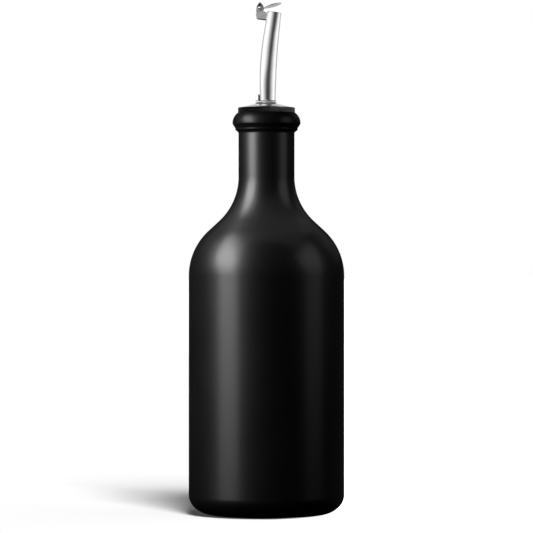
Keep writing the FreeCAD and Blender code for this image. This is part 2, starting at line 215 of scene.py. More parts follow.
class StudioLook(bpy.types.PropertyGroup):
    """Camera, lamps and the light tents."""

    distance: length("Camera distance", "From the bottle's axis to the camera", 1650.0)
    height: length("Camera height", "Camera above the floor", 127.5)
    lens: bpy.props.FloatProperty(
        name="Lens", description="Focal length", default=216.6, subtype="DISTANCE_CAMERA"
    )
    key_radiance: amount("Key radiance", "Brightness of the tall left softbox", 52.0)
    strip_radiance: amount("Strip radiance", "Brightness of the weak right strip", 5.4)
    top_radiance: amount("Top radiance", "Brightness of the cloth above the shoulder", 0.12)
    rear_radiance: amount("Rear radiance", "Brightness of the walls and cloths behind", 0.012)
    fill_radiance: amount("Fill radiance", "Soft light on the stopper, mostly from the right", 1.0)
    floor_light: amount("Floor light", "Both lamps that draw the floor's shadow", 4.4)
    floor_glow: amount("Floor glow", "What the floor keeps in its deepest shadow", 0.05)
    tent_radiance: amount("Tent radiance", "Brightness of the tents' walls in the steel", 1.28)


# ---------------------------------------------------------------- shapes


def arc(centre, radius, first, last, count=24):
    """Circle about a centre in a side view, from the first to the last bearing in radians."""
    bearing = np.linspace(first, last, count)
    return np.stack([centre[0] + radius * np.cos(bearing), centre[1] + radius * np.sin(bearing)], 1)


def line(start, end, count=8):
    """Straight run between two points of a side view, closer together near its ends."""
    along = (1 - np.cos(np.linspace(0, math.pi, count))) / 2
    return np.array(start) + along[:, None] * (np.array(end) - np.array(start))


def rounded(*corners, count=10):
    """Straight lines through (x, z, fillet) corners, each corner cut by the circle of its
    fillet's radius that touches both of its lines."""
    points = np.array([corner[:2] for corner in corners], float)
    runs = []
    start = points[0]
    for before, corner, after, (_, _, fillet) in zip(points, points[1:], points[2:], corners[1:]):
        back = (before - corner) / np.linalg.norm(before - corner)
        ahead = (after - corner) / np.linalg.norm(after - corner)
        half = math.acos(np.clip(back @ ahead, -1, 1)) / 2
        leave = corner + back * fillet / math.tan(half)
        join = corner + ahead * fillet / math.tan(half)
        centre = corner + (back + ahead) / np.linalg.norm(back + ahead) * fillet / math.sin(half)
        first = math.atan2(*(leave - centre)[::-1])
        swing = math.remainder(math.atan2(*(join - centre)[::-1]) - first, FULL_TURN)
        runs += [line(start, leave), arc(centre, fillet, first, first + swing, count)]
        start = join
    runs.append(line(start, points[-1]))
    return chained(*runs)


def chained(*runs):
    """Runs of points end to end, without the doubled points where they meet."""
    path = np.concatenate(runs)
    step = np.linalg.norm(np.diff(path, axis=0), axis=1)
    return path[np.concatenate([[True], step > 1e-9])]


def spun(profile, around, x=0.0):
    """Surface of revolution: every (radius, height) point of the profile swung round the
    upright line at x, as rings[i, j] = (x + r cos t, r sin t, z)."""
    bearing = np.arange(around) * FULL_TURN / around
    radius, height = profile[:, :1], profile[:, 1:]
    level = np.broadcast_to(height, (len(profile), around))
    return np.stack([x + radius * np.cos(bearing), radius * np.sin(bearing), level], 2)


class Shell:
    """Rings of points joined into one closed skin: its points, faces and unrolled map."""

    def __init__(self, rings, looped=False):
        count, around = rings.shape[:2]
        self.points = rings.reshape(-1, 3)
        i = np.arange(count if looped else count - 1)[:, None]
        j = np.arange(around)[None]
        here, there = i * around, (i + 1) % count * around
        across = (j + 1) % around
        quads = np.stack([here + j, here + across, there + across, there + j], 2).reshape(-1, 4)
        self.faces = quads.tolist()
        ones = np.ones((1, around))
        tall = np.ones((len(i), 1))
        left, right = j / around * tall, (j + 1) / around * tall
        low, high = i / count * ones, (i + 1) / count * ones
        self.map = np.stack([left, low, right, low, right, high, left, high], 2).reshape(-1, 2)
        if not looped:
            self._close(rings[0], 0, around, reverse=True)
            self._close(rings[-1], (count - 1) * around, around, reverse=False)

    def _close(self, ring, first, around, reverse):
        """A fan from the ring to its middle."""
        middle = np.full(around, len(self.points))
        self.points = np.concatenate([self.points, ring.mean(0)[None]])
        j = np.arange(around)
        here, across = first + j, first + (j + 1) % around
        fan = [across, here, middle] if reverse else [here, across, middle]
        self.faces += np.stack(fan, 1).tolist()
        self.map = np.concatenate([self.map, np.zeros((3 * around, 2))])

    def moved(self, place):
        """This shell with its points where `place` puts them."""
        self.points = place(self.points)
        return self


def linked(name, data):
    """An object in the scene with this data."""
    thing = bpy.data.objects.new(name, data)
    bpy.context.scene.collection.objects.link(thing)
    return thing


def skinned(name, points, faces, material):
    """A mesh object in the scene, at the origin."""
    mesh = bpy.data.meshes.new(name)
    mesh.from_pydata(points.tolist(), [], faces)
    mesh.materials.append(material)
    return linked(name, mesh)


def added(name, shells, body, material, replaces=(), place=None):
    """A piece from one or more shells, riding on its CAD body."""
    faces, first = [], 0
    for shell in shells:
        faces += [[first + corner for corner in face] for face in shell.faces]
        first += len(shell.points)
    points = np.concatenate([shell.points for shell in shells])
    thing = skinned(name, place(points) if place else points, faces, material)
    unrolled = np.concatenate([shell.map for shell in shells])
    thing.data.uv_layers.new(name="unrolled").data.foreach_set("uv", unrolled.ravel())
    thing.data.shade_smooth()
    if thing.data.validate():
        raise ValueError(f"{name} has faulty faces")
    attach(thing, body)
    if replaces:
        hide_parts(*replaces)


def turned(points, radians, axis, centre=(0, 0, 0)):
    """Points turned about an axis through a centre."""
    matrix = np.array(Matrix.Rotation(radians, 3, axis))
    return (points - np.array(centre)) @ matrix.T + np.array(centre)


def in_place(points):
    """From the pourer's own drawing to the bottle: the turn about the bottle's axis."""
    return turned(points, bpy.context.scene.pourer_look.turn, "Z")


def spout_line(height):
    """The spout's centre line: x and lean at each height, straight, one arc, straight."""
    look = bpy.context.scene.pourer_look
    radius = (look.bend_end - look.bend_start) / math.sin(look.lean)
    lean = np.arcsin(np.clip(height - look.bend_start, 0, look.bend_end - look.bend_start) / radius)
    beyond = np.maximum(height - look.bend_end, 0)
    return look.spout_offset + radius * (1 - np.cos(lean)) + beyond * np.tan(lean), lean


def at_mouth(points):
    """From a drawing about the mouth's centre, z along the tube, to the pourer's drawing."""
    look = bpy.context.scene.pourer_look
    x, lean = spout_line(np.array([look.mouth_height]))
    return in_place(turned(points, float(lean[0]), "Y") + np.array([x[0], 0, look.mouth_height]))


def on_flap(points):
    """From the shut flap's drawing to where it stands open about the pin."""
    look = bpy.context.scene.lid_look
    return at_mouth(turned(points, -look.rest, "Y", (-look.pin_back, 0, look.pin_rise)))


# ---------------------------------------------------------------- finishes


def arithmetic(operation, swapped=False):
    """A method that joins a signal and another value by a Math node."""
    def joined(signal, other):
        first, second = (other, signal) if swapped else (signal, other)
        return signal.finish.node("ShaderNodeMath", {0: first, 1: second}, operation=operation)
    return joined


class Signal:
    """A node's output, to be added, scaled and compared like a number."""

    def __init__(self, finish, socket):
        self.finish, self.socket = finish, socket

    __add__, __radd__ = arithmetic("ADD"), arithmetic("ADD", swapped=True)
    __sub__, __rsub__ = arithmetic("SUBTRACT"), arithmetic("SUBTRACT", swapped=True)
    __mul__, __rmul__ = arithmetic("MULTIPLY"), arithmetic("MULTIPLY", swapped=True)
    __truediv__ = arithmetic("DIVIDE")
    least = arithmetic("MINIMUM")

    def __abs__(self):
        return self.finish.node("ShaderNodeMath", {0: self}, operation="ABSOLUTE")

    def climb(self, low, high):
        """0 below low, 1 above high, and a smooth rise between them."""
        limits = {"Value": self, "From Min": low, "From Max": high}
        return self.finish.node("ShaderNodeMapRange", limits, interpolation_type="SMOOTHSTEP")

    def fall(self, low, high):
        """1 below low, 0 above high, and a smooth fall between them."""
        return 1.0 - self.climb(low, high)


class Finish:
    """The nodes of a material, or of a world, under construction."""

    def __init__(self, name, kind="materials"):
        self.holder = getattr(bpy.data, kind).new(name)
        self.holder.use_nodes = True
        self.tree = self.holder.node_tree
        self.tree.nodes.clear()

    def node(self, kind, values=(), output=0, **settings):
        """Any node: its settings first, then a number, colour or signal for each input."""
        made = self.tree.nodes.new(kind)
        for name, value in settings.items():
            setattr(made, name, value)
        for name, value in dict(values).items():
            if isinstance(value, Signal):
                self.tree.links.new(value.socket, made.inputs[name])
            else:
                made.inputs[name].default_value = value
        return Signal(self, made.outputs[output])

    def place(self):
        """Where a point lies on the piece, in metres."""
        return self.node("ShaderNodeTexCoord", output="Object")

    def unrolled(self):
        """Where a point lies on the piece's own map: round it, then along it."""
        return self.node("ShaderNodeUVMap", uv_map="unrolled")

    def part_of(self, coordinates, axis):
        return self.node("ShaderNodeSeparateXYZ", {0: coordinates}, axis)

    def noise(self, coordinates, scale, detail=2.0, roughness=0.5):
        """Clouds of which about so many fit in a metre, or in the whole map."""
        values = {"Vector": coordinates, "Scale": scale, "Detail": detail, "Roughness": roughness}
        return self.node("ShaderNodeTexNoise", values)

    def lines(self, coordinates, along):
        """Noise drawn out along some axes and packed along others."""
        drawn = self.node("ShaderNodeMapping", {"Vector": coordinates, "Scale": along})
        return self.noise(drawn, 1.0, 3.0, 0.6)

    def mix(self, factor, first, second):
        """One colour into another; inputs 6 and 7 are the colours, output 2 their mixture."""
        return self.node("ShaderNodeMix", {0: factor, 6: first, 7: second}, 2, data_type="RGBA")

    def mottled(self, spots, rgb, dark, pale):
        """A colour that wanders between two shades of itself."""
        return self.mix(spots.climb(0.3, 0.7), opaque(rgb, dark), opaque(rgb, pale))

    def bump(self, height, distance, strength):
        values = {"Height": height, "Distance": distance, "Strength": strength}
        return self.node("ShaderNodeBump", values)

    def surface(self, **values):
        """The surface shader, with an underscore for each space in a socket's name."""
        sockets = {name.replace("_", " "): value for name, value in values.items()}
        return self.node("ShaderNodeBsdfPrincipled", sockets)

    def end(self, surface, kind="ShaderNodeOutputMaterial"):
        """The material or world, ending in this surface."""
        self.tree.links.new(surface.socket, self.tree.nodes.new(kind).inputs["Surface"])
        return self.holder

    def done(self, **values):
        return self.end(self.surface(**values))


def opaque(rgb, factor=1.0):
    """A colour socket's value: the colour, brighter or darker by a factor."""
    return (rgb[0] * factor, rgb[1] * factor, rgb[2] * factor, 1.0)


def matte_black_glaze():
    """Satin black glaze with a fine fired skin, thin on the lip's edges, and bare clay below.
    On the lip and the band under it the mirror is mixed towards a weaker one, as painted shade."""
    look = bpy.context.scene.bottle_look
    finish = Finish("matte black glaze")
    place = finish.place()
    height = finish.part_of(place, "Z")
    clouds = finish.noise(place, 26.0, 3.0)
    skin = finish.noise(place, 520.0, 3.0, 0.6)
    grain = finish.noise(place, 2600.0, 2.0, 0.6)
    pits_and_pit_shade = finish.node("ShaderNodeTexVoronoi", {"Vector": place, "Scale": 420.0}).fall(0.05, 0.16)
    edge, band_start, band_end = look.lip_edge, look.land_bottom, look.land_top
    lip = height.climb(edge - 1.5 * MM, edge) * height.fall(edge, edge + 1.2 * MM)
    land = height.climb(band_start - 1.0 * MM, band_start) * height.fall(band_end, band_end + 1.0 * MM)
    thin = ((lip + land) * (0.25 + 0.5 * skin)).least(1.0)
    bare = height.fall(0.12 * MM, 0.45 * MM)
    glaze = finish.mottled(clouds, look.glaze, 0.85, 1.2)
    glaze = finish.mix(thin, glaze, opaque(look.thin_glaze))
    # The pinholes are dented by the bump below, and their colour is darkened as painted shade in their
    # hollows.
    glaze = finish.mix(pits_and_pit_shade * 0.6, glaze, opaque(look.glaze, 0.4))
    shared = {
        "Base_Color": finish.mix(bare, glaze, finish.mottled(grain, look.clay, 0.8, 1.1)),
        "Roughness": look.roughness - 0.03 + 0.05 * clouds + 0.02 * grain + 0.4 * bare,
        "Normal": finish.bump(skin * 0.6 + grain * 0.25 - pits_and_pit_shade * 0.5, 0.012 * MM, 0.5),
    }
    # Painted shade: a copy of the glaze with a weaker mirror (lower IOR) is mixed in on the lip and the
    # band under it, less on the lip's belly, where its highlight stays.
    glossy, dimmed_mirror = finish.surface(IOR=1.5, **shared), finish.surface(IOR=1.16, **shared)
    belly_end = height.fall(look.lip_centre + 2.2 * MM, look.lip_centre + 4.5 * MM)
    belly = height.climb(band_end + 1.0 * MM, look.lip_centre) * belly_end
    shade_on_lip = height.climb(look.neck_top, band_start) * (look.lip_reflection_shade - 0.3 * belly)
    return finish.end(finish.node("ShaderNodeMixShader", {0: shade_on_lip, 1: glossy, 2: dimmed_mirror}))


def stopper_plastic():
    """Satin moulded plastic with a fine spark-eroded grain."""
    look = bpy.context.scene.pourer_look
    finish = Finish("black stopper plastic")
    place = finish.place()
    grain = finish.noise(place, 3200.0, 2.0, 0.6)
    wear = finish.noise(place, 240.0, 3.0)
    return finish.done(
        Base_Color=finish.mottled(wear, look.plastic, 0.8, 1.25),
        Roughness=0.42 + 0.08 * wear,
        IOR=1.47,
        Normal=finish.bump(grain, 0.01 * MM, 0.5),
    )


def polished_steel(name, along):
    """Drawn and polished steel: fine lines that follow the tube, or run round a turned piece."""
    look = bpy.context.scene.pourer_look
    finish = Finish(name)
    lines = finish.lines(finish.unrolled(), along)
    smears = finish.noise(finish.place(), 160.0, 2.0)
    return finish.done(
        Base_Color=finish.mottled(smears, look.steel, 0.97, 1.03),
        Metallic=1.0,
        Roughness=0.09 + 0.05 * lines + 0.04 * smears,
        Normal=finish.bump(lines, 0.002 * MM, 0.35),
    )


def satin_steel():
    """The turned boss, brushed round and a little dulled by the heat of brazing."""
    look = bpy.context.scene.pourer_look
    finish = Finish("satin steel")
    rounds = finish.lines(finish.unrolled(), (5.0, 260.0, 1.0))
    smears = finish.noise(finish.place(), 420.0, 3.0)
    return finish.done(
        Base_Color=finish.mottled(smears, look.steel, 0.8, 0.95),
        Metallic=1.0,
        Roughness=0.24 + 0.1 * rounds + 0.08 * smears,
        Normal=finish.bump(rounds, 0.003 * MM, 0.5),
    )


def braze_dark_as_shade():
    """Slightly pitted filler where the tubes are joined; its dark colour is painted shade in the joins."""
    finish = Finish("braze")
    lumps = finish.noise(finish.place(), 2600.0, 3.0, 0.6)
    # Painted shade: the filler's dark colour stands for the shade in the joins between the tubes and the
    # collar.
    dark, pale = opaque((0.06, 0.06, 0.06)), opaque((0.17, 0.168, 0.165))
    return finish.done(
        Base_Color=finish.mix(lumps.climb(0.3, 0.7), dark, pale),
        Metallic=1.0,
        Roughness=0.38 + 0.15 * lumps,
        Normal=finish.bump(lumps, 0.02 * MM, 0.5),
    )


def pressed_steel():
    """Rolled sheet with a faint grain, a little duller than the tubes."""
    look = bpy.context.scene.lid_look
    finish = Finish("pressed steel")
    place = finish.place()
    grain = finish.lines(place, (900.0, 900.0, 9000.0))
    smears = finish.noise(place, 300.0, 2.0)
    return finish.done(
        Base_Color=finish.mottled(smears, look.pressed, 0.95, 1.04),
        Metallic=1.0,
        Roughness=0.17 + 0.06 * grain + 0.04 * smears,
        Normal=finish.bump(grain, 0.002 * MM, 0.4),
    )


# ---------------------------------------------------------------- the pieces


def shoulder(look):
    """Dome, flank and hollow throat: two circles and the straight line that touches both
    of them from inside, found from the angle whose cosine is the sum of their radii over
    the distance between their centres."""
    dome = np.array([look.body_radius - look.shoulder_radius, look.shoulder_start])
    hollow = np.array([look.neck_radius + look.throat_radius, look.neck_start])
    across = hollow - dome
    spread = math.acos((look.shoulder_radius + look.throat_radius) / np.linalg.norm(across))
    bearing = math.atan2(across[1], across[0]) - spread
    return chained(
        arc(dome, look.shoulder_radius, 0, bearing, 64),
        arc(hollow, look.throat_radius, bearing - math.pi, -math.pi, 64),
    )


def outline(look, rim, socket_floor, socket):
    """The side view from the middle of the foot, up the outside and down the socket."""
    quarter = np.linspace(0, math.pi / 2, 28)
    corner = np.stack([
        look.foot_radius + (look.body_radius - look.foot_radius) * np.sin(quarter),
        look.foot_corner * (1 - np.cos(quarter)),
    ], 1)
    lip_middle = np.array([look.lip_radius - look.lip_round, look.lip_centre])
    last = math.asin((rim - look.lip_centre) / look.lip_round)
    lip_top = lip_middle[0] + look.lip_round * math.cos(last)
    neck = rounded(
        (look.neck_radius, look.neck_start, 0),
        (look.neck_radius, look.neck_top, look.neck_fillet),
        (look.land_radius, look.land_bottom, look.land_fillet),
        (look.land_radius, look.land_top, look.land_fillet),
        (look.lip_radius, look.lip_edge, look.lip_fillet),
        (look.lip_radius, look.lip_centre, 0),
    )
    return chained(
        line((0.02 * look.foot_radius, 0), (look.foot_radius, 0), 16),
        corner,
        line((look.body_radius, look.foot_corner), (look.body_radius, look.shoulder_start), 60),
        shoulder(look),
        neck,
        arc(lip_middle, look.lip_round, 0, last, 28),
        rounded(
            (lip_top, rim, 0), (socket, rim, 0.3 * MM), (socket, socket_floor, 0.3 * MM),
            (0.1 * socket, socket_floor, 0),
        ),
    )


class OILBOTTLE_OT_stoneware(bpy.types.Operator):
    """Make the glazed stoneware bottle"""

    bl_idname = "oilbottle.stoneware"
    bl_label = "Stoneware bottle"

    def execute(self, context):
        look = context.scene.bottle_look
        socket = context.scene.pourer_look.plug_radius
        profile = outline(look, top("stoneware_bottle"), bottom("stopper"), socket)
        added(
            "glazed_bottle", [Shell(spun(profile, 256))], "bottle",
            matte_black_glaze(), ["stoneware_bottle"],
        )
        return {"FINISHED"}


class OILBOTTLE_OT_stopper(bpy.types.Operator):
    """Make the moulded stopper"""

    bl_idname = "oilbottle.stopper"
    bl_label = "Stopper"

    def execute(self, context):
        look = context.scene.pourer_look
        low, high, seat = bottom("stopper"), top("stopper"), top("stoneware_bottle")
        plug = look.plug_radius - 0.05 * MM
        groove, half = seat + 0.9 * MM, 0.12 * MM
        profile = rounded(
            (0.1 * look.plug_radius, low, 0),
            (plug, low, 0.8 * MM),
            (plug, seat, 0.2 * MM),
            (look.stopper_radius, seat, look.stopper_foot),
            (look.stopper_radius, groove - half, 0.03 * MM),
            (look.stopper_radius - half / 2, groove, 0.03 * MM),
            (look.stopper_radius, groove + half, 0.03 * MM),
            (look.stopper_radius, high, look.stopper_edge),
            (0.1 * look.stopper_radius, high, 0),
        )
        added(
            "moulded_stopper", [Shell(spun(profile, 160))], "bottle",
            stopper_plastic(), ["stopper"],
        )
        return {"FINISHED"}


def flange(look, low):
    """A dome whose height falls as a circle from its crown to its rim."""
    sphere = (look.flange_radius ** 2 + look.flange_rise ** 2) / (2 * look.flange_rise)
    rim_bearing = math.asin(look.flange_radius / sphere)
    crown = low + look.flange_edge + look.flange_rise
    dome = arc((0, crown - sphere), sphere, math.pi / 2 - rim_bearing * 0.985, math.pi / 2 - POLE, 40)
    rim = rounded(
        (HIDDEN, low, 0),
        (look.flange_radius, low, 0.12 * MM),
        (look.flange_radius, low + look.flange_edge, 0.2 * MM),
        (*dome[0], 0),
    )
    return chained(rim, dome)


def collar(look, base, boss_top):
    """A boss with a stepped foot; a fillet of braze climbs from the step."""
    sunk, step_top = base - look.collar_step, base + look.collar_step / 2
    return rounded(
        (HIDDEN, sunk, 0),
        (look.collar_foot, sunk, 0.1 * MM),
        (look.collar_foot - 0.02 * MM, step_top - look.collar_step * 0.75, 0.12 * MM),
        (look.collar_radius, step_top, look.collar_edge),
        (look.collar_radius, boss_top, look.collar_edge),
        (HIDDEN, boss_top, 0),
    )


def seam(look, vent_x, low, high):
    """Filler between the two tubes, hollow on both faces: each face is the circle that
    touches both tubes, whose centre lies one hollow beyond each of their radii."""
    hollow, apart = look.seam_hollow, look.vent_distance
    near, far = look.vent_radius + hollow, look.root_radius + hollow
    along = (near ** 2 - far ** 2 + apart ** 2) / (2 * apart)
    aside = -math.sqrt(near ** 2 - along ** 2)
    first, last = math.atan2(-aside, -along), math.atan2(-aside, apart - along)
    face = arc((vent_x + along, aside), hollow, first, last, 16)
    loop = np.concatenate([face, face[::-1] * np.array([1, -1])])
    height = np.linspace(low - 0.2 * MM, high - 0.5 * MM, 12)
    rings = np.concatenate([
        np.broadcast_to(loop, (len(height), *loop.shape)),
        np.broadcast_to(height[:, None, None], (len(height), len(loop), 1)),
    ], 2)
    return Shell(rings)


def fillet(x, radius, foot, climb):
    """A hollow fillet round a foot: a quarter circle that touches both faces."""
    hollow = arc((radius + climb, foot + climb), climb, -math.pi / 2, -math.pi, 14)
    inside, under = radius - 0.1 * MM, foot - 0.05 * MM
    profile = chained(
        line((inside, under), (radius + climb, under), 4), hollow,
        line(hollow[-1], (inside, foot + climb), 3),
    )
    return Shell(spun(profile, 96, x), looped=True)


def bead(look, boss_top):
    """A drop of weld on the boss, in front of the spout: a ball flattened front to back."""
    flatter, pole = np.array([1.0, 0.8, 0.95]), 8 * POLE
    in_front = np.array([[0.03 * MM, -4.55 * MM, boss_top + 0.12 * MM]])
    centre = turned(in_front, -look.turn, "Z")[0]
    profile = arc((0, 0), look.bead_radius, pole - math.pi / 2, math.pi / 2 - pole, 20)
    return Shell(spun(profile, 32)).moved(lambda points: points * flatter + centre)


class OILBOTTLE_OT_flange(bpy.types.Operator):
    """Make the domed flange, the collar on it and its weld bead"""

    bl_idname = "oilbottle.flange"
    bl_label = "Flange and collar"

    def execute(self, context):
        look = context.scene.pourer_look
        low = bottom("pourer_flange")
        boss_top = top("spout_collar") - 0.85 * look.braze_climb
        base = low + look.flange_edge + look.flange_rise
        added(
            "domed_flange", [Shell(spun(flange(look, low), 192))], "bottle",
            polished_steel("polished steel disc", (6.0, 900.0, 1.0)), ["pourer_flange"], in_place,
        )
        boss = Shell(spun(collar(look, base, boss_top), 128, look.collar_offset))
        added(
            "brazed_collar", [boss, bead(look, boss_top)], "bottle",
            satin_steel(), ["spout_collar"], in_place,
        )
        vent_x = look.spout_offset - look.vent_distance
        step = base - look.collar_step * 0.75
        # These fillers take the dark braze: painted shade along the tube feet, the collar's step and the
        # seam between the tubes.
        fillers = [
            fillet(look.spout_offset, look.root_radius + 0.04 * MM, boss_top, look.braze_climb),
            fillet(vent_x, look.vent_radius, boss_top, 0.5 * look.braze_climb),
            fillet(look.collar_offset, look.collar_foot - 0.02 * MM, step, 0.28 * MM),
            seam(look, vent_x, boss_top, top("vent_tube")),
        ]
        added("braze", fillers, "bottle", braze_dark_as_shade(), (), in_place)
        return {"FINISHED"}


def spout_radius(look, height, root_height):
    """Radius along the spout: a cosine that falls from the belly to the root and mouth."""
    end_height = np.where(height > look.belly_height, look.mouth_height, root_height)
    end_radius = np.where(height > look.belly_height, look.mouth_radius, look.root_radius)
    along = np.clip((height - look.belly_height) / (end_height - look.belly_height), 0, 1)
    return look.belly_radius + (end_radius - look.belly_radius) * (1 - np.cos(along * math.pi / 2))


def tube_wall(look, low, root_height):
    """Height, distance from the skin and rise past the ring for a closed walk up the
    outside, over the rounded mouth and down the bore."""
    root = line((low, 0), (root_height, 0), 4)[:-1, 0]
    outside = np.concatenate([root, np.linspace(root_height, look.mouth_height, 110)])
    over = np.linspace(0, math.pi, 12)[1:-1]
    half, flat = look.wall / 2, np.zeros(len(outside))
    height = np.concatenate([outside, np.full(len(over), look.mouth_height), outside[::-1]])
    inset = np.concatenate([flat, half - half * np.cos(over), flat + look.wall])
    sunk = np.where(height >= look.mouth_height, half, 0.0)
    rise = np.concatenate([flat, half * np.sin(over), flat]) - sunk
    return height, inset, rise


def spout(look, low, root_height):
    """Rings square to the bent centre line: centre + radius (cos t, sin t) in the plane
    that leans with it."""
    height, inset, rise = tube_wall(look, low, root_height)
    x, lean = spout_line(height)
    radius = spout_radius(look, height, root_height) - inset
    bearing = np.arange(128) * FULL_TURN / 128
    across, side = radius[:, None] * np.cos(bearing), radius[:, None] * np.sin(bearing)
    rings = np.stack([
        (x + rise * np.sin(lean))[:, None] + across * np.cos(lean)[:, None],
        side,
        (height + rise * np.cos(lean))[:, None] - across * np.sin(lean)[:, None],
    ], 2)
    return Shell(rings, looped=True)


def vent(look, low, high):
    """A straight pipe with a rounded mouth."""
    half = (look.vent_radius - look.vent_bore) / 2
    middle = look.vent_bore + half
    profile = chained(
        line((look.vent_radius, low), (look.vent_radius, high - half), 30),
        arc((middle, high - half), half, 0, math.pi, 10),
        line((look.vent_bore, high - half), (look.vent_bore, low), 30),
    )
    return Shell(spun(profile, 56, look.spout_offset - look.vent_distance), looped=True)


class OILBOTTLE_OT_tubes(bpy.types.Operator):
    """Make the bent spout and the straight vent pipe"""

    bl_idname = "oilbottle.tubes"
    bl_label = "Spout and vent"

    def execute(self, context):
        look = context.scene.pourer_look
        low = bottom("spout_tube")
        finish = polished_steel("polished steel tube", (260.0, 3.0, 1.0))
        tubes = (
            ("bent_spout", spout(look, low, top("stopper")), "spout_tube"),
            ("vent_pipe", vent(look, low, top("vent_tube")), "vent_tube"),
        )
        for name, shell, node in tubes:
            added(name, [shell], "bottle", finish, [node], in_place)
        return {"FINISHED"}


def bracket_channel(look, tube_radius):
    """The bracket's middle surface: a U of upright cheeks and a half-round floor carried
    back to front, its top following a circular lobe and then a slope, its floor a heel."""
    reach = math.sqrt(look.lobe ** 2 - (look.shoulder - look.pin_rise) ** 2)
    turn = np.linspace(0, math.acos(-reach / look.lobe), 40)
    corner, sunk = reach - look.pin_back, 0.17 * MM
    front = np.linspace(corner, -tube_radius + sunk, 24)[1:]
    x = np.concatenate([-look.pin_back - look.lobe * np.cos(turn), front])
    off = np.clip(x + look.pin_back, -look.lobe, look.lobe)
    slope = (look.front - look.shoulder) / (-tube_radius - corner)
    round_top = look.pin_rise + np.sqrt(look.lobe ** 2 - off ** 2)
    edge = np.where(x > corner, look.shoulder + slope * (x - corner), round_top)
    heel = np.minimum(off, 0)
    floor = look.lobe - look.depth - np.sqrt(look.lobe ** 2 - heel ** 2)
    middle = look.bracket_half - look.sheet / 2
    centre = floor + look.bracket_half
    swing = np.linspace(math.pi, FULL_TURN, 25)
    cheek = np.linspace(1, 0, 14)[:-1]
    up = centre[:, None] + (edge - centre)[:, None] * cheek
    wall = np.full(len(cheek), middle)
    y = np.concatenate([-wall, middle * np.cos(swing), wall])
    z = np.concatenate([up, centre[:, None] + middle * np.sin(swing), up[:, ::-1]], 1)
    return np.stack([x[:, None] * np.ones(len(y)), y * np.ones((len(x), 1)), z], 2)


def bracket(context, finish):
    """The channel's middle surface, thickened to the sheet and deburred."""
    look = context.scene.lid_look
    grid = bracket_channel(look, context.scene.pourer_look.mouth_radius)
    rows, columns = grid.shape[:2]
    first = (np.arange(rows - 1)[:, None] * columns + np.arange(columns - 1)).ravel()
    faces = np.stack([first, first + columns, first + columns + 1, first + 1], 1)
    thing = skinned("folded_bracket", at_mouth(grid.reshape(-1, 3)), faces.tolist(), finish)
    thing.data.shade_smooth()
    walls = thing.modifiers.new("sheet", "SOLIDIFY")
    walls.thickness, walls.offset = look.sheet, 0.0
    edges = thing.modifiers.new("deburred edges", "BEVEL")
    edges.width, edges.segments = 0.1 * MM, 3
    edges.limit_method, edges.angle_limit = "ANGLE", math.radians(50)
    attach(thing, "bottle")
    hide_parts("hinge_bracket")


def pin(look):
    """A rivet spun about the hinge axis: domed head, shank, domed head."""
    dome = (look.head ** 2 + look.head_height ** 2) / (2 * look.head_height)
    reach = math.asin(look.head / dome)
    end = look.head_start + look.head_height
    cap = arc((0, end - dome), dome, math.pi / 2 - reach, math.pi / 2 - 2 * POLE, 18)
    half = rounded(
        (look.shank, 0, 0), (look.shank, look.head_start, 0.05 * MM),
        (look.head, look.head_start, 0.06 * MM), (*cap[1], 0),
    )
    upper = chained(half, cap[1:])
    lower = (upper * np.array([1, -1]))[::-1]
    return Shell(spun(chained(lower, upper), 64)).moved(
        lambda points: turned(points, -math.pi / 2, "X") + np.array([-look.pin_back, 0, look.pin_rise])
    )


class OILBOTTLE_OT_hinge(bpy.types.Operator):
    """Make the folded bracket and the riveted pin"""

    bl_idname = "oilbottle.hinge"
    bl_label = "Bracket and pin"

    def execute(self, context):
        finish = pressed_steel()
        bracket(context, finish)
        added(
            "riveted_pin", [pin(context.scene.lid_look)], "bottle",
            polished_steel("polished steel pin", (4.0, 60.0, 1.0)), ["hinge_pin"], at_mouth,
        )
        return {"FINISHED"}


def cover(look):
    """A dished disc: its height falls as the square of the radius down to a flat rim."""
    inner = look.cover_radius - look.rim
    radius = np.linspace(0.05 * MM, inner, 30)
    dished = look.gap + look.dish * (1 - (radius / inner) ** 2)
    edge = look.sheet * 0.45
    rim = rounded(
        (inner, look.gap, 0), (look.cover_radius, look.gap, edge),
        (look.cover_radius, look.gap + look.sheet, edge), (inner, look.gap + look.sheet, 0),
    )
    profile = chained(
        np.stack([radius, dished], 1), rim, np.stack([radius, dished + look.sheet], 1)[::-1]
    )
    return Shell(spun(profile, 112, look.cover_centre))


def flat_bar(x, y, half, z, thickness):
    """A flat bar along x: rounded rectangles with a half width for every x."""
    bearing = np.linspace(0, FULL_TURN, 32, endpoint=False) + math.pi / 32
    corner = thickness * 0.35
    across = np.sign(np.cos(bearing)) * (half[:, None] - corner) + corner * np.cos(bearing)
    up = np.sign(np.sin(bearing)) * (thickness / 2 - corner) + corner * np.sin(bearing)
    return Shell(np.stack([
        x[:, None] * np.ones(len(bearing)), y[:, None] + across, z + up * np.ones((len(x), 1))
    ], 2))


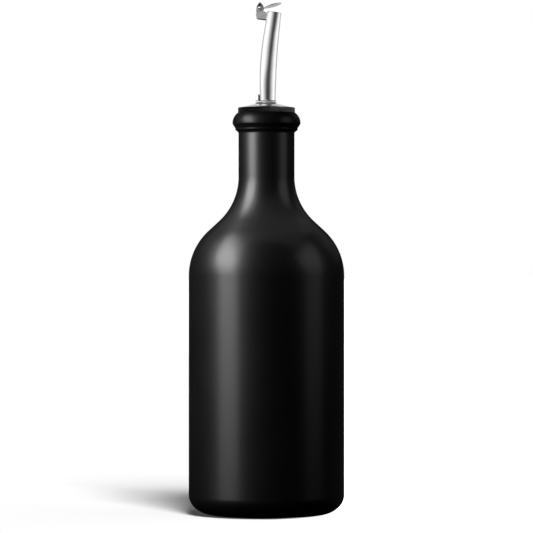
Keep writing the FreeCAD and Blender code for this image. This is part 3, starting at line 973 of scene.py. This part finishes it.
def cheek(look, side):
    """One wall of the hood. Rings climb a pointed arch whose half length at height h is
    the circle through its foot and tip; the wall stands upright to the bend and then
    leans in to the ridge."""
    arch = (look.hood_half ** 2 + look.hood_tip ** 2) / (2 * look.hood_half)
    climb = np.sin(np.linspace(0, math.pi / 2, 60))
    start = look.hood_bottom / math.cos(look.hood_tilt)
    height = start + (look.hood_tip - 0.02 * MM - start) * climb
    half = look.hood_half - arch + np.sqrt(arch ** 2 - np.maximum(height, 0) ** 2)
    bearing = np.linspace(0, FULL_TURN, 40, endpoint=False) + math.pi / 40
    corner = np.minimum(0.12 * MM, half * 0.9)[:, None]
    along = np.sign(np.cos(bearing)) * (half[:, None] - corner) + corner * np.cos(bearing)
    through = np.sign(np.sin(bearing)) * 0.6 + 0.4 * np.sin(bearing)
    level = height[:, None] + (1 - climb)[:, None] * along * math.tan(look.hood_tilt)
    x = along * math.cos(look.hood_tilt) + level * math.sin(look.hood_tilt)
    z = level * math.cos(look.hood_tilt) - along * math.sin(look.hood_tilt)
    middle = (look.hood_back + look.hood_front) / 2
    taper = (look.hood_back - look.hood_front) / (2 * look.hood_half)
    outer_foot = middle - taper * x
    inner_foot = outer_foot - look.sheet
    above, outer_rise = z - look.hood_bend, look.hood_tip - look.hood_bend
    outer = outer_foot + (look.ridge_half - outer_foot) * np.clip(above / outer_rise, 0, 1)
    inner = inner_foot * (1 - np.clip(above / (outer_rise - look.ridge_depth), 0, 1))
    y = (outer + inner) / 2 + through * (outer - inner) / 2
    rings = np.stack([x - look.pin_back, side * y, z + look.pin_rise], 2)
    return Shell(rings if side > 0 else rings[:, ::-1])


def neck_and_arms(look):
    """The strip that widens from the cover to the bracket's lobe, and two arms that carry it
    past the lobe to the cheeks."""
    level, overlap = look.gap + look.sheet / 2, 0.4 * MM
    notch = look.lobe - look.pin_back + 0.15 * MM
    x = np.linspace(notch, look.cover_centre - look.cover_radius + look.rim, 12)
    half = np.linspace(look.hood_front, look.neck_half, 12)
    arm_x = np.linspace(notch - 0.9 * MM, notch + overlap, 8)
    arm_y = look.hood_front - look.sheet / 2 - (arm_x - notch) * 0.1
    arm_half = np.full(8, look.sheet / 2)
    rows = ((x, np.zeros(12), half), (arm_x, arm_y, arm_half), (arm_x, -arm_y, arm_half))
    return [flat_bar(*row, level, look.sheet) for row in rows]


class OILBOTTLE_OT_flap(bpy.types.Operator):
    """Make the pressed flap: cover, neck strip and hood"""

    bl_idname = "oilbottle.flap"
    bl_label = "Flap lid"

    def execute(self, context):
        look = context.scene.lid_look
        shells = [cover(look), *neck_and_arms(look), cheek(look, 1), cheek(look, -1)]
        added("pressed_flap", shells, "flap", pressed_steel(), ["flap_lid"], on_flap)
        return {"FINISHED"}


# ---------------------------------------------------------------- the studio


# Each softbox column: height in metres, brightness, breadth, and turn to the left in degrees.
KEY_LEVELS = (
    (0.0, 0.13, 1.0, 0.0), (0.04, 0.18, 1.0, 0.0), (0.1, 0.3, 0.95, 0.0), (0.2, 0.72, 0.8, 2.5),
    (0.28, 1.1, 1.05, 5.5), (0.4, 1.2, 1.15, 6.0), (0.55, 0.98, 1.15, 6.0), (0.7, 0.26, 1.0, 5.0),
    (0.82, 0.04, 1.0, 5.0), (0.96, 0.0, 1.0, 5.0),
)
STRIP_LEVELS = (
    (0.0, 0.09, 1.0, 0.0), (0.04, 0.14, 1.0, 0.0), (0.1, 0.28, 1.0, 0.0), (0.2, 0.66, 1.0, 0.0),
    (0.28, 0.92, 1.3, 5.0), (0.4, 0.85, 1.4, 7.0), (0.5, 0.42, 1.3, 7.0), (0.6, 0.06, 1.0, 7.0),
    (0.66, 0.0, 1.0, 7.0), (0.96, 0.0, 1.0, 7.0),
)
# The panels at each height: how wide, and their share of the light. They soften its sides.
PANELS = ((1.6, 0.15), (1.1, 0.35), (0.65, 0.5))
PANEL_HEIGHT = 0.06
# A column leans back by so much at such a height, and as this power of the height.
LEAN_BACK, LEAN_HEIGHT, LEAN_POWER = 0.311, 0.717, 2.6

# What stands behind the bottle: name, place, size in metres, and brightness.
CLOTHS = (
    ("rear_wall", (-0.8, 0.75, 0.3), (1.3, 1.6), 0.35),
    ("rear_wall", (0.8, 0.75, 0.3), (1.3, 1.6), 1.3),
    ("rear_cloth", (0.0, 0.55, 0.7), (1.8, 0.5), 7),
    ("rear_cloth", (0.56, 0.66, 0.45), (0.6, 0.36), 4),
)
MIDDLE = (0, 0, 0.15)

# The floor's suns: share of the light, then bearing, rise and width in degrees.
SUNS = ((0.77, 13.0, 44.0, 22.0), (0.23, 85.0, 54.5, 63.0))
FLOOR_REACH = 30.0
TENT_HEIGHT = 0.235


def gathered(name, members):
    """A collection of the pieces that a lamp lights."""
    made = bpy.data.collections.new(name)
    for member in members:
        made.objects.link(member)
    return made


def staged_lamp(name, lamp, turn, lit):
    """A staged lamp that lights only some pieces."""
    thing = linked(name, lamp)
    thing.rotation_euler = turn.to_euler()
    thing.light_linking.receiver_collection = lit
    thing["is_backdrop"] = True
    return thing


def softbox(name, place, aim, size, radiance, lit, spread=180):
    """A rectangular lamp of even brightness, turned towards a point."""
    lamp = bpy.data.lights.new(name, "AREA")
    lamp.shape, lamp.size, lamp.size_y = "RECTANGLE", size[0], size[1]
    lamp.energy = radiance * math.pi * size[0] * size[1]
    lamp.spread = math.radians(spread)
    turn = (Vector(aim) - Vector(place)).to_track_quat("-Z", "Y")
    thing = staged_lamp(name, lamp, turn, lit)
    thing.location = place
    thing.visible_camera = False


def column(name, levels, radiance, width, x, y, lit):
    """A tall softbox in short panels, one above the other, leaning back as a power of its
    height, turned about the bottle's axis and aimed low at it."""
    table = np.array(levels).T
    height = np.linspace(0.0, table[0, -1], 17)
    level, breadth, turn = (np.interp(height, table[0], row) for row in table[1:])
    turn, back = np.radians(turn), y + LEAN_BACK * (height / LEAN_HEIGHT) ** LEAN_POWER
    aside = x * np.cos(turn) + back * np.sin(turn)
    behind = back * np.cos(turn) - x * np.sin(turn)
    rows = np.stack([height, level, breadth, aside, behind], 1).tolist()
    for z, panel, broad, place_x, place_y in rows:
        place, aim = (place_x, place_y, z), (0, place_y * 0.3, z)
        for size, part in PANELS:
            if panel > 0:
                sides = (width * broad * size, PANEL_HEIGHT)
                softbox(name, place, aim, sides, radiance * panel * part, lit)


def pale_floor(look):
    """Pale floor, lit from high on the right. It also glows there, so that only the object's
    shadow on the left shows."""
    finish = Finish("studio floor")
    surface = finish.node("ShaderNodeBsdfDiffuse", {"Color": opaque((0.8, 0.8, 0.8))})
    lit_side = finish.part_of(finish.place(), "X").climb(0.0, 30 * MM)
    level = look.floor_glow + (1 - look.floor_glow) * lit_side
    glow = finish.node("ShaderNodeEmission", {"Color": level, "Strength": 1.0})
    material = finish.end(finish.node("ShaderNodeAddShader", {0: surface, 1: glow}))
    square = FLOOR_REACH * np.array([(-1, -1, 0), (1, -1, 0), (1, 1, 0), (-1, 1, 0)])
    thing = skinned("studio_floor", square, [(0, 1, 2, 3)], material)
    thing.visible_glossy = thing.visible_diffuse = False
    thing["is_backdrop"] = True
    return thing


def floor_lamp(level, bearing, rise, width, floor):
    """A sun whose light on the level floor is `level`, seen at a bearing and a rise."""
    bearing, rise = math.radians(bearing), math.radians(rise)
    lamp = bpy.data.lights.new("floor_lamp", "SUN")
    lamp.energy, lamp.angle = level / math.sin(rise), math.radians(width)
    level_part = Vector((math.sin(bearing), -math.cos(bearing), 0)) * math.cos(rise)
    turn = (level_part + Vector((0, 0, math.sin(rise)))).to_track_quat("Z", "Y")
    staged_lamp("floor_lamp", lamp, turn, gathered("lit by the floor lamp", [floor]))


# How bright each tent is by bearing, to the right from the front, and rise, both in degrees.


def round_the_steel(bearing, rise):
    """Bright sides, a dark card in front, where the camera looks through, and a duller
    wall behind and below."""
    under_the_top = rise.fall(72, 84)
    from_card = abs(bearing - 2.0)
    card = from_card.fall(5, 88) * under_the_top
    front = from_card.fall(85, 115) * rise.climb(28, 42) * under_the_top
    back = abs(bearing).climb(108, 122)
    low_back = back * rise.fall(-10, -4)
    below = (rise + 26.0 * back).fall(-34, -17)
    slit = rise.climb(-18, -13) * rise.fall(-9, -5) * (1.0 - back)
    walls = (1.0 - 0.33 * back) * (1.0 - 0.4 * low_back) * (1.0 - 0.42 * rise.climb(12, 30))
    cards = (1.0 - 0.94 * card) * (1.0 - 0.95 * front) * (1.0 - 0.95 * below)
    return walls * cards + 0.27 * slit * card


def round_the_stopper(bearing, rise):
    """Dim, with a broad soft light to the right and a little behind on both sides."""
    light = abs(bearing - 62.0).fall(5, 100)
    return 0.13 + 0.66 * light + 0.12 * abs(bearing).climb(110, 135)


def round_the_spout(bearing, rise):
    """Bright sides, a dark card in front, which stands further right above, and a grey
    strip on both sides of a lighter back."""
    card = abs(bearing - 27.0 * rise.climb(-0.4, 2.3)).fall(8, 93)
    aside = abs(bearing)
    strip = aside.climb(98, 132) * (1.0 - 0.8 * aside.climb(136, 172))
    return (1.0 - 0.95 * card) * (1.0 - 0.6 * strip) * (1.0 - 0.42 * rise.climb(16, 34))


def round_the_pin(bearing, rise):
    """A lamp above, and dim walls at the sides and below."""
    sides = abs(bearing).climb(55, 80)
    return 0.12 + 0.95 * rise.climb(36, 50) + 0.3 * sides + 0.3 * rise.fall(-52, -38)


def round_the_vent(bearing, rise):
    """Bright, with a dark card in front on the right and a duller back."""
    card, back = abs(bearing - 48.0).fall(8, 62), abs(bearing).climb(115, 170)
    return (1.0 - 0.9 * card) * (1.0 - 0.55 * back)


def round_the_collar(bearing, rise):
    """Bright on the left, half as bright on the right, dark above and below."""
    sides = 0.36 + 0.56 * bearing.fall(-28, 6) + 0.4 * bearing.climb(70, 100)
    level = rise.climb(-22, -8) * (1.0 - 0.9 * rise.climb(14, 30) * rise.fall(62, 78))
    return sides * (0.12 + 0.88 * level)


def tent(name, pattern, radiance, lit, radius, see_through=False):
    """A tent round the object that lights only some pieces, bright and dark as its pattern
    says: bearing = atan2(x, -y), rise = asin(z / radius). The camera looks through it."""
    finish = Finish(name)
    x, y, z = (finish.part_of(finish.place(), axis) for axis in "XYZ")
    degrees = math.degrees(1)
    bearing = finish.node("ShaderNodeMath", {0: x, 1: 0.0 - y}, operation="ARCTAN2") * degrees
    rise = finish.node("ShaderNodeMath", {0: z / radius}, operation="ARCSINE") * degrees
    level = pattern(bearing, rise) * radiance
    glow = finish.node("ShaderNodeEmission", {"Color": level, "Strength": 1.0})
    if see_through:
        clear = finish.node("ShaderNodeBsdfTransparent")
        glow = finish.node("ShaderNodeAddShader", {0: glow, 1: clear})
    material = finish.end(glow)
    material.cycles.emission_sampling = "NONE"
    shell = Shell(spun(arc((0, 0), radius, POLE - math.pi / 2, math.pi / 2 - POLE, 49), 96))
    thing = skinned(name, shell.points, shell.faces, material)
    thing.location = (0, 0, TENT_HEIGHT)
    thing.visible_camera = thing.visible_shadow = False
    thing.light_linking.receiver_collection = gathered(name, lit)
    thing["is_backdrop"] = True


def white_world():
    """White to the camera and in reflections; the lamps do the lighting."""
    finish = Finish("white backdrop", "worlds")
    rays = ("Is Camera Ray", "Is Glossy Ray", "Is Transmission Ray")
    camera, glossy, through = (finish.node("ShaderNodeLightPath", output=ray) for ray in rays)
    seen = (camera + glossy + through).least(1.0)
    sky = finish.node("ShaderNodeBackground", {"Color": (1, 1, 1, 1), "Strength": seen})
    bpy.context.scene.world = finish.end(sky, "ShaderNodeOutputWorld")


def studio_camera(look):
    """The camera in front of the bottle, looking level along +Y."""
    camera = bpy.data.cameras.new("studio_camera")
    camera.lens, camera.sensor_width, camera.clip_end = look.lens, 36.0, 200.0
    thing = linked("studio_camera", camera)
    thing.location = (0.0, -look.distance, look.height)
    thing.rotation_euler = (math.pi / 2, 0.0, 0.0)
    bpy.context.scene.camera = thing


class OILBOTTLE_OT_studio(bpy.types.Operator):
    """Set the floor, the light tents, the lamps and the camera"""

    bl_idname = "oilbottle.studio"
    bl_label = "Studio"

    def execute(self, context):
        look = context.scene.studio_look
        ware = bpy.data.objects["glazed_bottle"]
        pourer = [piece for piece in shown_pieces() if piece is not ware]
        lit_ware = gathered("lit by the softboxes", [ware])
        column("key_softbox", KEY_LEVELS, look.key_radiance, 0.15, -0.364, -0.253, lit_ware)
        column("strip_softbox", STRIP_LEVELS, look.strip_radiance, 0.13, 0.395, -0.135, lit_ware)
        softbox("shoulder_cloth", (0, 0, 0.1975), (0, 0, 0), (0.12, 0.12), look.top_radiance, lit_ware, 125)
        for name, place, size, part in CLOTHS:
            softbox(name, place, MIDDLE, size, part * look.rear_radiance, lit_ware)
        inner = (
            ("stopper_tent", "moulded_stopper", round_the_stopper, look.fill_radiance, 2.8),
            ("pin_tent", "riveted_pin", round_the_pin, look.tent_radiance, 2.7),
            ("vent_tent", "vent_pipe", round_the_vent, look.tent_radiance, 2.6),
            ("collar_tent", "brazed_collar", round_the_collar, look.tent_radiance, 2.5),
            ("spout_tent", "bent_spout", round_the_spout, look.tent_radiance, 0.35),
        )
        for name, piece, pattern, radiance, radius in inner:
            pourer.remove(bpy.data.objects[piece])
            tent(name, pattern, radiance, [bpy.data.objects[piece]], radius, see_through=True)
        tent("steel_tent", round_the_steel, look.tent_radiance, pourer, 3.0)
        floor = pale_floor(look)
        for part, bearing, rise, width in SUNS:
            floor_lamp(part * look.floor_light, bearing, rise, width, floor)
        white_world()
        studio_camera(look)
        context.scene.view_settings.view_transform = "Standard"
        return {"FINISHED"}


OPERATORS = (
    OILBOTTLE_OT_stoneware,
    OILBOTTLE_OT_stopper,
    OILBOTTLE_OT_flange,
    OILBOTTLE_OT_tubes,
    OILBOTTLE_OT_hinge,
    OILBOTTLE_OT_flap,
    OILBOTTLE_OT_studio,
)

LOOKS = {
    "bottle_look": BottleLook,
    "pourer_look": PourerLook,
    "lid_look": LidLook,
    "studio_look": StudioLook,
}


class OILBOTTLE_PT_sidebar(bpy.types.Panel):
    """Sizes, colours and makers of the oil bottle"""

    bl_idname = "OILBOTTLE_PT_sidebar"
    bl_label = "Oil Bottle"
    bl_space_type = "VIEW_3D"
    bl_region_type = "UI"
    bl_category = "Oil Bottle"

    def draw(self, context):
        for operator in OPERATORS:
            self.layout.operator(operator.bl_idname)
        for name, group in LOOKS.items():
            box = self.layout.box()
            for size in group.__annotations__:
                box.prop(getattr(context.scene, name), size)


def register():
    for group in (*LOOKS.values(), *OPERATORS, OILBOTTLE_PT_sidebar):
        bpy.utils.register_class(group)
    for name, group in LOOKS.items():
        setattr(bpy.types.Scene, name, bpy.props.PointerProperty(type=group))


def unregister():
    for name in LOOKS:
        delattr(bpy.types.Scene, name)
    for group in (OILBOTTLE_PT_sidebar, *reversed(OPERATORS), *reversed(tuple(LOOKS.values()))):
        bpy.utils.unregister_class(group)


def main():
    register()
    for operator in OPERATORS:
        family, name = operator.bl_idname.split(".")
        getattr(getattr(bpy.ops, family), name)()


if __name__ == "__main__":
    main()
